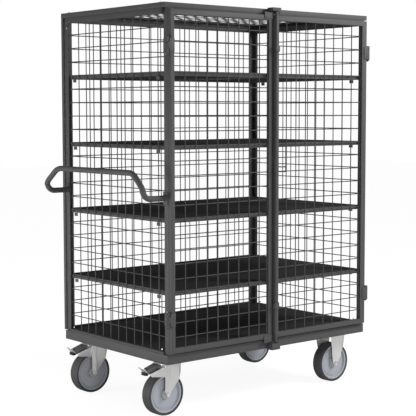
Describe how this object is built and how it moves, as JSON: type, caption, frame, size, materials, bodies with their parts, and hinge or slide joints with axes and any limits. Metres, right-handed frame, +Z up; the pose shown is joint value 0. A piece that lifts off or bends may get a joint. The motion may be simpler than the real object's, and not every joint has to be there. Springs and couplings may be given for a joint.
{
  "type": "mesh security trolley",
  "caption": "Tall wire mesh security trolley with a flat base, shelves, two hinged mesh doors with a rod lock, bent tube push handle, braked swivel castors and fixed castors.",
  "frame": {"origin": "on the floor under the middle of the bounding box, push handle and hinge barrels included", "axes": "+X along the trolley away from the push handle, +Y from the doors to the back, +Z up"},
  "size_m": [1.3342, 0.8672, 1.77],
  "materials": {
    "paint": "fine textured anthracite powder coat",
    "board": "black coated board",
    "zinc": "bright zinc plated pressed steel",
    "rim": "moulded grey nylon",
    "tyre": "dark grey rubber",
    "pedal": "black moulded pedal"
  },
  "bodies": {
    "trolley": {"back_panel_frame": "paint", "back_panel_mesh": "paint", "base_frame": "paint", "castor_bracket_back_fixed": "zinc", "castor_bracket_front_fixed": "zinc", "castor_plate_back_swivel": "zinc", "castor_plate_front_swivel": "zinc", "deck_board": "board", "end_mesh_left": "paint", "end_mesh_right": "paint", "hinge_left_lower_post_leaf": "paint", "hinge_left_upper_post_leaf": "paint", "hinge_right_lower_post_leaf": "paint", "hinge_right_upper_post_leaf": "paint", "lock_keeper_lower": "paint", "lock_keeper_upper": "paint", "post_back_left": "paint", "post_back_right": "paint", "post_front_left": "paint", "post_front_right": "paint", "push_handle": "paint", "roof_frame": "paint", "roof_mesh": "paint", "shelf_1_board": "board", "shelf_1_frame": "paint", "shelf_2_board": "board", "shelf_2_frame": "paint", "shelf_3_board": "board", "shelf_3_frame": "paint", "shelf_4_board": "board", "shelf_4_frame": "paint"},
    "door_left": {"door_left_frame": "paint", "door_left_mesh": "paint", "door_stop_plate_lower": "paint", "door_stop_plate_upper": "paint", "hinge_left_lower_door_leaf": "paint", "hinge_left_upper_door_leaf": "paint"},
    "door_right": {"door_right_frame": "paint", "door_right_mesh": "paint", "hinge_right_lower_door_leaf": "paint", "hinge_right_upper_door_leaf": "paint", "rod_guide_lower": "paint", "rod_guide_upper": "paint"},
    "lock": {"lock_rod": "paint", "rod_nose_lower": "paint", "rod_nose_upper": "paint", "lock_lever": "paint"},
    "swivel_front": {"castor_fork_front_swivel": "zinc"},
    "pedal_front": {"brake_pedal_front": "pedal"},
    "wheel_front_swivel": {"wheel_rim_front_swivel": "rim", "wheel_tyre_front_swivel": "tyre"},
    "wheel_front_fixed": {"wheel_rim_front_fixed": "rim", "wheel_tyre_front_fixed": "tyre"},
    "swivel_back": {"castor_fork_back_swivel": "zinc"},
    "pedal_back": {"brake_pedal_back": "pedal"},
    "wheel_back_swivel": {"wheel_rim_back_swivel": "rim", "wheel_tyre_back_swivel": "tyre"},
    "wheel_back_fixed": {"wheel_rim_back_fixed": "rim", "wheel_tyre_back_fixed": "tyre"}
  },
  "joints": [
    {"name": "door_left_swing", "type": "hinge", "parent": "trolley", "child": "door_left", "pos_m": [-0.55275, -0.37922, 1.013], "axis": [0, 0, -1], "range_deg": [0, 180]},
    {"name": "door_right_swing", "type": "hinge", "parent": "trolley", "child": "door_right", "pos_m": [0.65725, -0.37922, 1.013], "axis": [0, 0, 1], "range_deg": [0, 240]},
    {"name": "lock_turn", "type": "hinge", "parent": "door_right", "child": "lock", "pos_m": [0.04725, -0.39922, 1.013], "axis": [0, 0, -1], "range_deg": [0, 90]},
    {"name": "castor_front_swivel", "type": "hinge", "parent": "trolley", "child": "swivel_front", "pos_m": [-0.43775, -0.25772, 0.243], "axis": [0, 0, 1], "continuous": true},
    {"name": "wheel_front_swivel_spin", "type": "hinge", "parent": "swivel_front", "child": "wheel_front_swivel", "pos_m": [-0.48775, -0.25772, 0.094], "axis": [0, 1, 0], "continuous": true},
    {"name": "wheel_front_fixed_spin", "type": "hinge", "parent": "trolley", "child": "wheel_front_fixed", "pos_m": [0.54225, -0.25772, 0.094], "axis": [0, 1, 0], "continuous": true},
    {"name": "brake_front_press", "type": "hinge", "parent": "swivel_front", "child": "pedal_front", "pos_m": [-0.52775, -0.25772, 0.208], "axis": [0, -1, 0], "range_deg": [0, 12]},
    {"name": "castor_back_swivel", "type": "hinge", "parent": "trolley", "child": "swivel_back", "pos_m": [-0.43775, 0.30428, 0.243], "axis": [0, 0, 1], "continuous": true},
    {"name": "wheel_back_swivel_spin", "type": "hinge", "parent": "swivel_back", "child": "wheel_back_swivel", "pos_m": [-0.48775, 0.30428, 0.094], "axis": [0, 1, 0], "continuous": true},
    {"name": "wheel_back_fixed_spin", "type": "hinge", "parent": "trolley", "child": "wheel_back_fixed", "pos_m": [0.54225, 0.30428, 0.094], "axis": [0, 1, 0], "continuous": true},
    {"name": "brake_back_press", "type": "hinge", "parent": "swivel_back", "child": "pedal_back", "pos_m": [-0.52775, 0.30428, 0.208], "axis": [0, -1, 0], "range_deg": [0, 12]}
  ]
}
